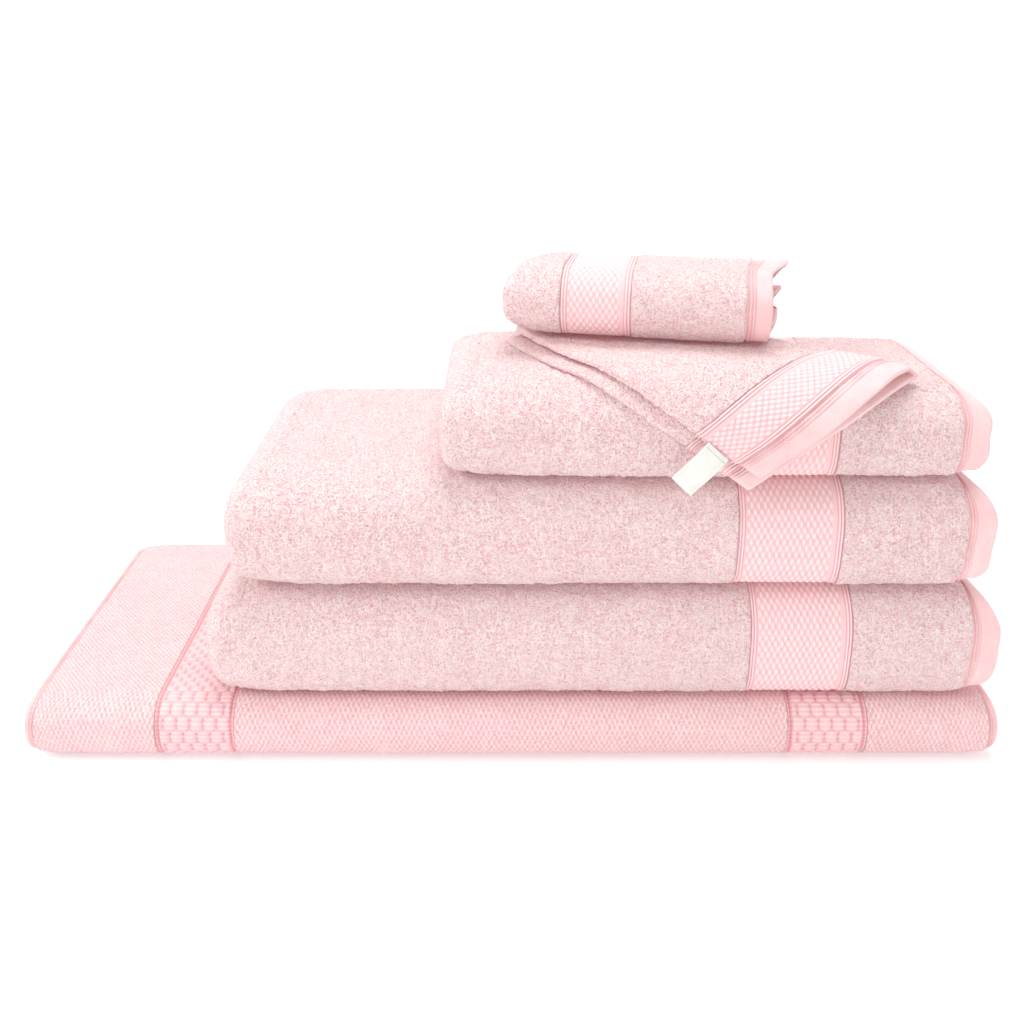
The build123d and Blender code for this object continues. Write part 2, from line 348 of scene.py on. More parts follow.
def cloth_material(name, tip, deep, kind, bump, roughness=0.95, sheen=0.25, painted_bounce_glow=PAINTED_BOUNCE_GLOW):
    """Cotton with its pile or weave from nodes: terry, loops, weave, puff, twill, thread or satin; its
    colour is darker where pile and relief are low, painted shade, and it may have a faint pink emission,
    painted bounce light.
    """
    mat = bpy.data.materials.new(name)
    mat.use_nodes = True
    nodes, links = mat.node_tree.nodes, mat.node_tree.links
    shader = nodes["Principled BSDF"]
    socket(shader, "Roughness").default_value = roughness
    socket(shader, "Sheen Weight", "Sheen").default_value = sheen
    socket(shader, "Sheen Roughness").default_value = 0.45
    socket(shader, "Sheen Tint").default_value = (1.0, 0.9, 0.9, 1.0)
    # Emission: the cloth glows faintly, painted bounce light in its shade.
    socket(shader, "Emission Color").default_value = (*painted_bounce_glow, 1.0)
    socket(shader, "Emission Strength").default_value = 1.0
    socket(shader, "Specular IOR Level", "Specular").default_value = 0.5 if kind == "satin" else 0.12
    place = nodes.new("ShaderNodeTexCoord")

    def noise_of(size, detail=1.0):
        node = nodes.new("ShaderNodeTexNoise")
        links.new(place.outputs["Object"], node.inputs["Vector"])
        node.inputs["Scale"].default_value = 1 / (size * MM)
        node.inputs["Detail"].default_value = detail
        node.inputs["Roughness"].default_value = 0.55
        return node.outputs[0]

    def math_of(operation, a, b=0.0):
        node = nodes.new("ShaderNodeMath")
        node.operation = operation
        for k, v in enumerate((a, b)):
            if isinstance(v, bpy.types.NodeSocket):
                links.new(v, node.inputs[k])
            else:
                node.inputs[k].default_value = v
        return node.outputs[0]

    def plus(*terms):
        """Weighted sum of sockets and plain numbers."""
        total = None
        for value, weight in terms:
            part = math_of("MULTIPLY", value, weight)
            total = part if total is None else math_of("ADD", total, part)
        return total

    def ridge(source, sharp):
        away = math_of("ABSOLUTE", math_of("SUBTRACT", source, 0.5))
        return math_of("SUBTRACT", 1.0, math_of("MULTIPLY", away, sharp))

    def wave(per_x, per_y):
        """Stripes across the cloth's own coordinates; periods in mm, none for zero."""
        split = nodes.new("ShaderNodeSeparateXYZ")
        links.new(place.outputs["UV"], split.inputs[0])
        along = math_of("MULTIPLY", split.outputs[0], 2 * math.pi / (per_x * MM) if per_x else 0.0)
        across = math_of("MULTIPLY", split.outputs[1], 2 * math.pi / (per_y * MM) if per_y else 0.0)
        return math_of("SINE", math_of("ADD", along, across))

    # The stored relief: its low points are coloured darker below, painted shade in the grooves and hollows.
    relief = nodes.new("ShaderNodeAttribute")
    relief.attribute_name = "relief"
    relief_for_painted_shade = relief.outputs["Fac"]
    fine = noise_of(0.95, 1.0)
    broad = noise_of(34, 1.0)
    # Each kind's colour value follows its bump height, darker in the pile's hollows and the weave's grooves
    # as painted shade; the broad noise adds uneven tone.
    if kind == "terry":
        worm = ridge(noise_of(2.6), 8.0)
        small = ridge(noise_of(1.6), 8.0)
        height = plus((worm, 0.42), (small, 0.36), (fine, 0.3))
        shade = plus((worm, 0.24), (small, 0.28), (fine, 0.34), (relief_for_painted_shade, 0.07), (broad, 0.06), (1.0, 0.17))
    elif kind == "loops":
        grid = math_of("MULTIPLY", wave(4.6, 0), wave(0, 5.0))
        small = ridge(noise_of(1.5), 8.0)
        height = plus((grid, 0.35), (small, 0.26), (fine, 0.3))
        shade = plus((grid, 0.22), (small, 0.22), (fine, 0.36), (relief_for_painted_shade, 0.06), (broad, 0.05), (1.0, 0.22))
    elif kind == "weave":
        grid = plus((wave(0, 1.1), 0.5), (wave(1.4, 0), 0.3))
        height = plus((grid, 0.2), (fine, 0.35))
        shade = plus((grid, 0.07), (fine, 0.30), (relief_for_painted_shade, 0.48), (1.0, 0.14))
    elif kind == "puff":
        grid = plus((wave(0, 2.1), 0.6), (wave(1.7, 0), 0.3))
        height = plus((grid, 0.3), (fine, 0.5))
        shade = plus((grid, 0.20), (fine, 0.40), (relief_for_painted_shade, 0.17), (1.0, 0.12))
    elif kind == "twill":
        grid = wave(1.9, 1.9)
        height = plus((grid, 0.25), (fine, 0.4))
        shade = plus((grid, 0.10), (fine, 0.45), (relief_for_painted_shade, 0.28), (1.0, 0.28))
    elif kind == "thread":
        grid = wave(0.7, 0.9)
        height = plus((grid, 0.3), (1.0, 0.5))
        shade = plus((grid, 0.2), (1.0, 0.5))
    else:
        height = plus((wave(0, 0.5), 0.1), (fine, 0.2))
        shade = plus((wave(0, 0.5), 0.08), (noise_of(9.0), 0.5), (relief_for_painted_shade, 1.2), (1.0, 0.25))
    # From the deep colour, painted shade in the hollows, to the tip colour on the crests.
    ramp = nodes.new("ShaderNodeValToRGB")
    pile = kind in ("terry", "loops")
    ramp.color_ramp.elements[0].position = 0.24 if pile else 0.18
    ramp.color_ramp.elements[0].color = (*deep, 1)
    ramp.color_ramp.elements[1].position = 0.70 if pile else 0.82
    ramp.color_ramp.elements[1].color = (*tip, 1)
    links.new(shade, ramp.inputs[0])
    links.new(ramp.outputs[0], shader.inputs["Base Color"])
    raised = nodes.new("ShaderNodeBump")
    raised.inputs["Strength"].default_value = 1.0
    raised.inputs["Distance"].default_value = bump * MM
    links.new(height, raised.inputs["Height"])
    links.new(raised.outputs[0], shader.inputs["Normal"])
    return mat


# Pink cloths: tip colour on the crests, deep colour for the painted shade in the hollows.
TERRY = cloth_material("pink_terry", (0.900, 0.785, 0.775), (0.82, 0.455, 0.468), "terry", 1.0)
MAT_PILE = cloth_material("pink_mat_pile", (0.870, 0.720, 0.720), (0.78, 0.385, 0.405), "loops", 0.8)
WEAVE = cloth_material("pink_weave", (0.875, 0.765, 0.760), (0.77, 0.360, 0.380), "weave", 0.3, 0.85)
PUFF = cloth_material("pink_honeycomb", (0.835, 0.650, 0.652), (0.74, 0.310, 0.335), "puff", 0.5, 0.9)
TWILL = cloth_material("pink_twill", (0.865, 0.705, 0.700), (0.79, 0.440, 0.450), "twill", 0.3, 0.85)
THREAD = cloth_material("pink_thread", (0.870, 0.700, 0.695), (0.80, 0.460, 0.470), "thread", 0.15, 0.7)
SATIN = cloth_material(
    "label_satin", (0.88, 0.865, 0.825), (0.72, 0.705, 0.66), "satin", 0.06, 0.42, 0.1, NO_PAINTED_BOUNCE_GLOW
)
LABEL_THREAD = cloth_material(
    "label_thread", (0.60, 0.58, 0.54), (0.48, 0.46, 0.43), "thread", 0.1, 0.7, 0.1, NO_PAINTED_BOUNCE_GLOW
)


# ---------------------------------------------------------------- relief of each cloth

def rough(u, seed):
    return np.random.RandomState(101 + seed).rand(*u.shape) * 2 - 1


def terry_relief(seed, amount=1.0):
    """Winding loops of pile with a few flattened and tufted patches."""
    def relief(u, s, side):
        return amount * MM * (
            0.45 * ridged(u, s, 3.3 * MM, seed) + 0.22 * rough(u, seed)
            + 0.3 * noise(u, s, 7 * MM, seed + 1) + 0.35 * noise(u, s, 19 * MM, seed + 3)
        )
    return relief


def diamond(u, s, wide, tall):
    """1 at the middle of each diamond, 0 along the lines between them."""
    return np.abs(np.cos(math.pi * (u / wide + s / tall)) * np.cos(math.pi * (u / wide - s / tall)))


def ridge_line(edge, at, wide):
    return np.exp(-((edge - at * MM) / (wide * MM)) ** 2)


def border_relief(low, high, seed):
    """Small raised diamonds between plain strips, with two cords and a groove along each side."""
    def relief(u, s, side):
        edge = np.minimum(u - low, high - u)
        right = high - u < u - low
        start = np.where(right, 9.5, 6.6) * MM
        dots = diamond(u, s, 5.6 * MM, 7.4 * MM) ** 0.6 * smooth(edge, start, start + 0.8 * MM)
        plain = 0.42 * (1 - smooth(edge, start, start + 0.8 * MM))
        cords = ridge_line(edge, 1.9, 0.62) + ridge_line(edge, 4.5, 0.62)
        grooves = ridge_line(edge, 0.5, 0.6) + ridge_line(edge, 3.2, 0.55) + 0.8 * ridge_line(edge, 5.7, 0.5)
        uneven = 0.05 * noise(u, s, 3 * MM, seed)
        return MM * (1.0 * dots + plain + 0.75 * cords - 0.75 * grooves + uneven)
    return relief


def puffs(u, s, wide, tall, half_wide, half_tall):
    """Rounded cushions in offset rows: 1 on each cushion's middle, 0 between them."""
    best = np.zeros_like(u)
    for off_u, off_s in ((0, 0), (wide / 2, tall / 2)):
        du = (u - off_u + wide / 2) % wide - wide / 2
        ds = (s - off_s + tall / 2) % tall - tall / 2
        best = np.maximum(best, 1 - np.abs(du / half_wide) ** 2.4 - np.abs(ds / half_tall) ** 2.4)
    return np.sqrt(np.clip(best, 0, 1))


def honeycomb_relief(low, high, seed):
    """Puffed cells in offset rows beside a flat groove and a raised edge."""
    def relief(u, s, side):
        edge = np.minimum(u - low, high - u)
        cell = puffs(u, s, 12.0 * MM, 13.0 * MM, 6.0 * MM, 4.4 * MM)
        inside = smooth(edge, 4.0 * MM, 5.4 * MM)
        strands = 0.16 * np.cos(2 * math.pi * s / (2.1 * MM))
        return MM * (
            (2.3 * cell + strands) * inside + 1.7 * ridge_line(edge, 1.3, 0.9)
            - 0.3 * ridge_line(edge, 3.6, 1.0) + 0.15 * rough(u, seed)
        )
    return relief


def hem_relief(seed, low=None, outward=1):
    """Flat tape, with a groove and a cord where it meets the terry."""
    def relief(u, s, side):
        lift = 0.25 * noise(u, s, 9 * MM, seed) + 0.3 * noise(u, s, 40 * MM, seed)
        if low is not None:
            into = (u - low) * outward
            lift = lift - 1.1 * ridge_line(into, 1.0, 0.8) + 0.55 * ridge_line(into, 2.7, 0.6)
            lift = lift - 0.75 * ridge_line(into, 4.1, 0.6) + 0.45 * ridge_line(into, 5.5, 0.6)
            lift = lift - 0.55 * ridge_line(into, 6.8, 0.55)
        return MM * lift
    return relief


# ---------------------------------------------------------------- shapes shared by the folded towels

def squared(y, z, cy, cz, power=SQUARE, low_power=None):
    """Fills out the round front of a fold so that its face is flatter, more so below its middle."""
    dy, dz = y - cy, z - cz
    r = np.hypot(dy, dz) + 1e-9
    c, s = np.abs(dy) / r, np.abs(dz) / r
    p = np.where(dz < 0, low_power or power, power)
    full = (c ** p + s ** p) ** (-1 / p)
    k = np.where(dy < 0, full, 1.0)
    return cy + dy * k, cz + dz * k


def towel_warp(low, high, seed, front, droop, tilt):
    """Places a fold-space point of a towel: rounded ends, fuller front, slight unevenness."""
    x0, y0, z0 = low
    x1, y1, z1 = high
    height, depth = z1 - z0, y1 - y0
    cz, radius = height / 2, height / 2
    bow = 0.26 * height

    def warp(u, a, l):
        y, z = squared(a, l, radius, radius, front, SQUARE_LOW)
        near_left = np.exp(-((u - x0) / (34 * MM)) ** 2)
        near_right = np.exp(-((x1 - u) / (26 * MM)) ** 2)
        level = np.clip((z - cz) / cz, -1, 1)
        reach = np.clip((depth * 0.5 - y) / (depth * 0.5), 0, 1)
        top_more = np.where(level > 0, 0.8, 0.3)
        x = u + near_left * bow * top_more * np.abs(level) ** 4
        x = x - near_right ** 1.6 * bow * np.where(level > 0, 1.0, 0.45) * np.abs(level) ** 4
        x = x - near_right * MM * (3.0 + 5.0 * np.clip(level, 0, 1) ** 2.5 + 2.0 * reach ** 6)
        x = x + near_right * MM * 1.6 * noise(z, y * 0.4, 16 * MM, seed + 5)
        z = cz + (z - cz) * (1 - 0.09 * near_left - 0.06 * near_right)
        y = y + near_left * MM * 5.0 * reach ** 2 * np.abs(level)
        sway = MM * (1.8 * noise(u, z * 0 + 0.3, 170 * MM, seed) + 1.0 * noise(u, z, 60 * MM, seed + 1))
        y = y + np.maximum(sway, -0.9 * MM) * reach ** 2 + MM * 1.2 * near_right * reach
        z = z + MM * 1.1 * noise(u, y, 90 * MM, seed + 2) * np.clip(level, 0, 1) * (1 - near_left)
        across = (u - x0) / (x1 - x0) - 0.5
        z = z - tilt * across * np.clip(z / height, 0, 1) * (1 - 0.6 * reach)
        front_edge = smooth(radius * 0.95 - y, 0, radius * 0.7)
        z = np.maximum(z, 0.3 * MM) - droop * front_edge * np.clip(-level, 0, 1)
        return np.stack([x, y + y0, z + z0], 1)
    return warp


def thirds_path(depth, height, gap):
    strip = (height - 2 * gap) / 3
    radius, back_radius = height / 2, strip + gap / 2
    back_y = depth - back_radius
    path = Path()
    path.line((depth - strip / 2, height - strip / 2), (depth * 0.45, height - strip / 2), 3.2, 14)
    path.line((depth * 0.45, height - strip / 2), (radius, height - strip / 2), 2.2, 14)
    path.arc((radius, radius), radius - strip / 2, 90, 270, 1.45, 7)
    path.line((radius, strip / 2), (depth * 0.35, strip / 2), 5, 14)
    path.line((depth * 0.35, strip / 2), (back_y, strip / 2), 9, 16)
    path.arc((back_y, back_radius), back_radius - strip / 2, -90, 90, 2.0, 6)
    path.line((back_y, 1.5 * strip + gap), (radius, 1.5 * strip + gap), 12, 16)
    return path, strip


def void_rows(low, high):
    return rows_between(low, high, 40 * MM)


GAP = 0.6 * MM


def towel(prefix, seed, front=2.3, droop=0.0, tilt=0.0):
    """A towel folded end to end, then in thirds: terry, woven border, end panel, hems, stitching."""
    names = [f"{prefix}_{part}" for part in ("terry", "border", "end_terry", "hem", "hem_stitching")]
    low, high = node_box(*names)
    path, strip = thirds_path(high[1] - low[1], high[2] - low[2], GAP)
    half = strip / 2 - 0.9 * MM
    warp = towel_warp(low, high, seed, front, droop, tilt)
    x_terry = span(names[0], 0)
    x_border = span(names[1], 0)
    x_end = span(names[2], 0)
    x_hem = span(names[3], 0)

    cloth = Cloth()
    rows = rows_between(x_terry[0], x_terry[1], 1.65 * MM, round_low=half * 0.8)
    cloth.ribbon(path, half, rows, warp, terry_relief(seed))
    hollow = void_rows(x_terry[0] + 22 * MM, x_terry[1] - MM)
    cloth.ribbon(path, 0.35 * MM, hollow, warp, trim=10 * MM, inside_out=True, cap=2)
    terry = cloth.build(f"{prefix}_terry_cloth", TERRY, "terry_pile")

    cloth = Cloth()
    inset = 1.4 * MM
    rows = rows_between(x_border[0], x_border[1], 0.62 * MM)
    relief = border_relief(x_border[0], x_border[1], seed)
    cloth.ribbon(path, half - inset, rows, warp, relief, fine=0.62)
    border = cloth.build(f"{prefix}_woven_border", WEAVE, "woven_border")

    cloth = Cloth()
    rows = rows_between(x_end[0], x_end[1], 1.2 * MM, round_high=2.0 * MM, turns=3)
    cloth.ribbon(path, half, rows, warp, terry_relief(seed + 11), fine=0.85)
    end = cloth.build(f"{prefix}_end_terry_cloth", TERRY, "terry_pile")

    cloth = Cloth()
    ply = 3.2 * MM
    level = strip / 2 - 3.0 * MM - ply + 0.6 * MM
    rows = rows_between(x_hem[0] - 3 * MM, x_hem[1], 0.7 * MM, round_high=3.0 * MM)
    cloth.ribbon(path, ply, rows, warp, hem_relief(seed, x_hem[0]), offset=level)
    rows = rows_between(x_hem[0] - 3 * MM, x_hem[1], 2.4 * MM, round_high=3.0 * MM)
    cloth.ribbon(path, ply, rows, warp, hem_relief(seed + 1), offset=-level)
    hem = cloth.build(f"{prefix}_hems", TWILL, "hem_tape")

    cloth = Cloth().begin_stitches()
    lines = [x_hem[0] + 2.7 * MM, x_hem[0] + 5.5 * MM]
    cloth.stitches(path, ply, lines, STITCH_PITCH, 0.004, path.length * 0.62, offset=level + 0.4 * MM)
    cloth.stitched(warp)
    stitching = cloth.build(f"{prefix}_hem_stitches", THREAD, "hem_thread")

    for piece, node in zip((terry, border, end, hem, stitching), names):
        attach(piece, prefix)
        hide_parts(node)
    return terry


# ---------------------------------------------------------------- bath mat

def bath_mat(seed=1):
    sides = ("left", "right")
    all_nodes = ["mat_terry"] + [
        f"mat_{part}_{s}" for s in sides for part in ("border", "end_terry", "hem", "hem_stitching")
    ]
    low, high = node_box(*all_nodes)
    depth, height = high[1] - low[1], high[2] - low[2]
    strip = (height - GAP) / 2
    radius = height / 2
    path = Path()
    path.line((depth - strip / 2, height - strip / 2), (depth * 0.5, height - strip / 2), 3.0, 16)
    path.line((depth * 0.5, height - strip / 2), (radius, height - strip / 2), 2.4, 16)
    path.arc((radius, radius), radius - strip / 2, 90, 270, 0.5, 4)
    path.line((radius, strip / 2), (depth - strip / 2, strip / 2), 10, 16)
    half = strip / 2 - 0.4 * MM

    def warp(u, a, l):
        y, z = squared(a, l, radius, radius)
        middle = (high[0] + low[0]) / 2
        out = np.abs(u - middle) / (high[0] - middle)
        near_end = np.exp(-(((1 - out) * (high[0] - middle)) / (26 * MM)) ** 2)
        level = (z - radius) / radius
        reach = np.clip((depth * 0.5 - y) / (depth * 0.5), 0, 1)
        side = np.sign(u - middle)
        x = u - side * near_end * MM * (4.0 * level ** 2 + 5.0 * reach ** 8)
        z = radius + (z - radius) * (1 - 0.10 * near_end)
        y = y + MM * (1.0 * noise(u, u * 0, 150 * MM, seed)) * reach ** 3 + 0.8 * MM * reach
        z = z + MM * 0.8 * noise(u, y, 80 * MM, seed + 2) * np.clip(level, 0, 1)
        z = np.where(level < -0.95, z * 0.4, z)
        return np.stack([x, y + low[1], np.maximum(z, 0) + low[2]], 1)

    def pile(u, s, side):
        uneven = 0.2 * noise(u, s, 4 * MM, seed) + 0.3 * noise(u, s, 16 * MM, seed)
        return MM * (0.2 * rough(u, seed) + uneven)

    pieces = []
    cloth = Cloth()
    x = span("mat_terry", 0)
    cloth.ribbon(path, half, rows_between(x[0], x[1], 1.6 * MM), warp, pile)
    terry = cloth.build("mat_terry_cloth", MAT_PILE, "mat_pile")
    pieces.append((terry, "mat_terry"))
    for s in sides:
        outward = 1 if s == "right" else -1
        x = span(f"mat_border_{s}", 0)
        cloth = Cloth()
        rows = rows_between(x[0], x[1], 0.75 * MM)
        cloth.ribbon(path, half - 2.0 * MM, rows, warp, honeycomb_relief(x[0], x[1], seed), fine=0.9)
        pieces.append((cloth.build(f"mat_honeycomb_border_{s}", PUFF, "woven_border"), f"mat_border_{s}"))
        x = span(f"mat_end_terry_{s}", 0)
        cloth = Cloth()
        cloth.ribbon(path, half, rows_between(x[0], x[1], 1.2 * MM), warp, pile)
        end = cloth.build(f"mat_end_terry_cloth_{s}", MAT_PILE, "mat_pile")
        pieces.append((end, f"mat_end_terry_{s}"))
        x = span(f"mat_hem_{s}", 0)
        cloth = Cloth()
        ends = {"round_high" if outward > 0 else "round_low": 4.0 * MM}
        overlap = (x[0] - 3 * MM, x[1]) if outward > 0 else (x[0], x[1] + 3 * MM)
        start = x[0] if outward > 0 else x[1]
        relief = hem_relief(seed, start, outward)
        cloth.ribbon(path, half - 2.6 * MM, rows_between(*overlap, 0.7 * MM, **ends), warp, relief)
        pieces.append((cloth.build(f"mat_hem_tape_{s}", TWILL, "hem_tape"), f"mat_hem_{s}"))
        cloth = Cloth().begin_stitches()
        lines = [start + outward * 2.7 * MM, start + outward * 5.5 * MM]
        cloth.stitches(path, half - 2.2 * MM, lines, STITCH_PITCH, 0.004, path.length * 0.66)
        cloth.stitched(warp)
        pieces.append((cloth.build(f"mat_hem_stitches_{s}", THREAD, "hem_thread"), f"mat_hem_stitching_{s}"))
    for piece, node in pieces:
        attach(piece, "bath_mat")
        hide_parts(node)
    return terry


# ---------------------------------------------------------------- washer laid cornerwise

def draped_washer(seed=31):
    hand_low, hand_high = node_box("hand_towel_terry")
    radius = (hand_high[2] - hand_low[2]) / 2
    hinge_y = hand_low[1] + radius
    centre_z = hand_low[2] + radius
    back_y = hand_high[1]
    bend_run = 14 * MM
    length = 300 * MM
    hem_end, border_end = 23 * MM, 67 * MM
    tip_x, tip_run = 333 * MM, 68 * MM          # the fold's end at the hem, across and up
    hem_turn = math.radians(37.2)
    near_turn, far_turn = 143.4, 117            # degrees; the side edge before and after its bend
    bend_at, bend_soft = 178 * MM, 90 * MM
    ply_in, ply_out = 4.6 * MM, 13.6 * MM
    tip_radius = (ply_out - ply_in) / 2
    mid = (ply_out + ply_in) / 2
    width = 160 * MM
    wider = 17 * MM

    def profile(run, h, arc):
        """Over the hand towel's front, along its top and down behind it."""
        w = np.pi - np.clip(run / arc, 0, 1) * np.pi / 2
        y = hinge_y + (radius + h) * np.cos(w)
        z = centre_z + (radius + h) * np.sin(w)
        y, z = squared(y, z, hinge_y, centre_z, 2.12)
        z = z + np.clip(run, None, 0)
        flat = back_y - hinge_y
        y = y + np.clip(run - arc, 0, flat)
        over = np.clip(run - arc - flat, 0, bend_run) / bend_run * np.pi / 2
        y = y + h * np.sin(over)
        z = z - h * (1 - np.cos(over))
        z = z - np.clip(run - arc - flat - bend_run, 0, None) * 0.78
        return y, z

    def side_way(u, near, far, bend_at, soft):
        """How far across and how far up a point is, a distance in from the hem."""
        steps = np.linspace(-0.03, 0.34, 371)
        turn = np.radians(near + (far - near) * smooth(steps, bend_at - soft, bend_at + soft))
        dx, dr = np.cos(turn), np.sin(turn)
        x = np.concatenate([[0], np.cumsum((dx[1:] + dx[:-1]) / 2 * np.diff(steps))])
        r = np.concatenate([[0], np.cumsum((dr[1:] + dr[:-1]) / 2 * np.diff(steps))])
        zero = np.interp(0, steps, x), np.interp(0, steps, r)
        return np.interp(u, steps, x) - zero[0], np.interp(u, steps, r) - zero[1]

    def warp(u, a, l):
        """u is the distance from the hem, a the distance in from the fold (negative), l the level."""
        share = smooth(l, ply_in, ply_out)
        a = a * (1 + (1 - share) * wider / width)
        dx, dr = side_way(u - (1 - share) * 10 * MM, near_turn, far_turn, bend_at, bend_soft)
        x = tip_x + a * np.cos(hem_turn) + dx
        run = tip_run + a * np.sin(hem_turn) + dr
        edge = 1 - smooth(u, 0, 52 * MM)
        hang = 1 - smooth(run, 0, 90 * MM)
        puff = edge * smooth(-a, 2 * MM, 26 * MM) * (1 - 0.75 * smooth(-a, 60 * MM, 150 * MM))
        h = l + share * MM * (4.6 * puff + 1.6 * hang * smooth(-a, 60 * MM, 160 * MM))
        h = h + MM * (0.5 + share) * 0.9 * noise(x, run, 60 * MM, seed)
        h = np.maximum(h, 0.5 * MM + 0.12 * l)
        arc = (77 + 8 * share) * MM
        y, z = profile(run, h, arc)
        return np.stack([x, y, z], 1)

    def u_fold(out, inn):
        path = Path()
        path.line((-width, ply_in), (-tip_radius, ply_in), 5, 5)
        path.arc((-tip_radius, mid), tip_radius, -90, 90, 1.0, 0.8)
        path.line((-tip_radius, ply_out), (-width, ply_out), out, inn)
        return path

    def edge_hem(relief):
        """A narrow flat hem down the side edges of both plies."""
        def relief_of(u, s, side):
            total = 2 * (width - tip_radius) + math.pi * tip_radius
            from_edge = np.minimum(s, total - s)
            pile = relief(u, s, side) * (0.55 + 0.45 * smooth(from_edge, 8 * MM, 10 * MM))
            groove = 0.9 * MM * ridge_line(from_edge, 9.0, 1.2)
            return pile - groove - 0.8 * MM * (1 - smooth(from_edge, 0, 9 * MM))
        return relief_of

    def build(name, material, slot, low, high, step, half, relief, out,
              low_round=0.0, high_round=0.0):
        cloth = Cloth()
        rows = rows_between(low, high, step, round_low=low_round, round_high=high_round)
        cloth.ribbon(u_fold(out, 5), half, rows, warp, relief)
        return cloth.build(name, material, slot)

    terry = build("draped_washer_terry", TERRY, "terry_pile", border_end, length, 1.5 * MM, 3.6 * MM,
                  edge_hem(terry_relief(seed, 0.9)), 1.4, high_round=3 * MM)
    border = build("draped_washer_border", WEAVE, "woven_border", hem_end, border_end, 0.6 * MM, 2.7 * MM,
                   border_relief(hem_end, border_end, seed), 0.8)
    hem = build("draped_washer_hem", TWILL, "hem_tape", 0, hem_end + MM, 0.8 * MM, 2.1 * MM,
                hem_relief(seed, hem_end, -1), 1.6, low_round=1.9 * MM)
    path = u_fold(1.6, 5)
    cloth = Cloth().begin_stitches()
    start = path.length - width + 6 * MM
    lines = [hem_end - 2.7 * MM, hem_end - 5.5 * MM]
    cloth.stitches(path, 2.5 * MM, lines, STITCH_PITCH, start, path.length - 3 * MM)
    cloth.stitched(warp)
    stitches = cloth.build("draped_washer_hem_stitches", THREAD, "hem_thread")
    nodes = {
        terry: [f"{place}_{ply}_terry" for place in ("draped", "flap") for ply in ("outer", "inner")],
        border: [f"{place}_{ply}_border" for place in ("draped", "flap") for ply in ("outer", "inner")],
        hem: ["flap_outer_hem", "flap_inner_hem"],
        stitches: [],
    }
    for piece, replaced in nodes.items():
        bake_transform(piece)
        if replaced:
            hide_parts(*replaced)
    return terry


def washer_label():
    """Plain satin loop label: two layers, folded at the free end."""
    joint = next(j for j in frame["joints"] if j["name"] == "label_seam")
    across = -np.array(joint["axis"], float)
    down = np.array([across[2], 0, -across[0]])
    top = np.array(joint["pos_m"], float) + down * 1.2 * MM + np.array([0, -1.4, 0]) * MM
    width, length = 23 * MM, 42 * MM
    half = 0.28 * MM
    path = Path()
    path.line((0, 0.45 * MM), (length - 0.5 * MM, 0.45 * MM), 1.5, 3)
    path.arc((length - 0.5 * MM, 0), 0.45 * MM, 90, -90, 0.3, 0.5)
    path.line((length - 0.5 * MM, -0.45 * MM), (0, -0.45 * MM), 1.5, 3)

    def warp(u, a, l):
        t = a / length
        curve = MM * (0.5 + 2.2 * t ** 2 + 1.5 * np.sin(t * 4.6))
        bow = curve + MM * 1.5 * t * np.sin(u / width * 4.4 + 0.5)
        out = np.maximum(bow, 0.3 * MM) - l
        p = top[None] + across[None] * (u * (1 - 0.04 * t))[:, None] + down[None] * a[:, None]
        return p + np.array([[0, -1.0, 0]]) * out[:, None]

    # A raised stripe and a groove along each edge; the satin material colours the groove darker from this
    # relief, painted shade.
    def relief(u, s, side):
        edge = width / 2 - np.abs(u)
        return MM * (0.12 * ridge_line(edge, 1.6, 0.4) - 0.14 * ridge_line(edge, 2.7, 0.45))

    cloth = Cloth()
    rows = rows_between(-width / 2, width / 2, 0.4 * MM)
    cloth.ribbon(path, half, rows, warp, relief, cap=3)
    label = cloth.build("washer_loop_label", SATIN, "label_satin")
    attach(label, "washer_label")
    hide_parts("washer_label")

    cloth = Cloth().begin_stitches()
    flat = Path().line((0, -0.45 * MM), (length, -0.45 * MM), 2, 4)
    lines = [(k - 4) * 2.4 * MM for k in range(9)]
    cloth.stitches(flat, 0, lines, 50, 0.0036, 0.0040, long=0.4, wide=0.85, high=0.25)
    points = np.array(cloth.stitch_points)
    points[:, 2] = -0.45 * MM - half - np.abs(points[:, 2] + 0.45 * MM)
    cloth.stitch_points = points
    cloth.stitched(warp)
    stitches = cloth.build("washer_label_stitches", LABEL_THREAD, "label_thread")
    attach(stitches, "washer_label")
    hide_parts("washer_label_stitching")


# ---------------------------------------------------------------- washer folded on top

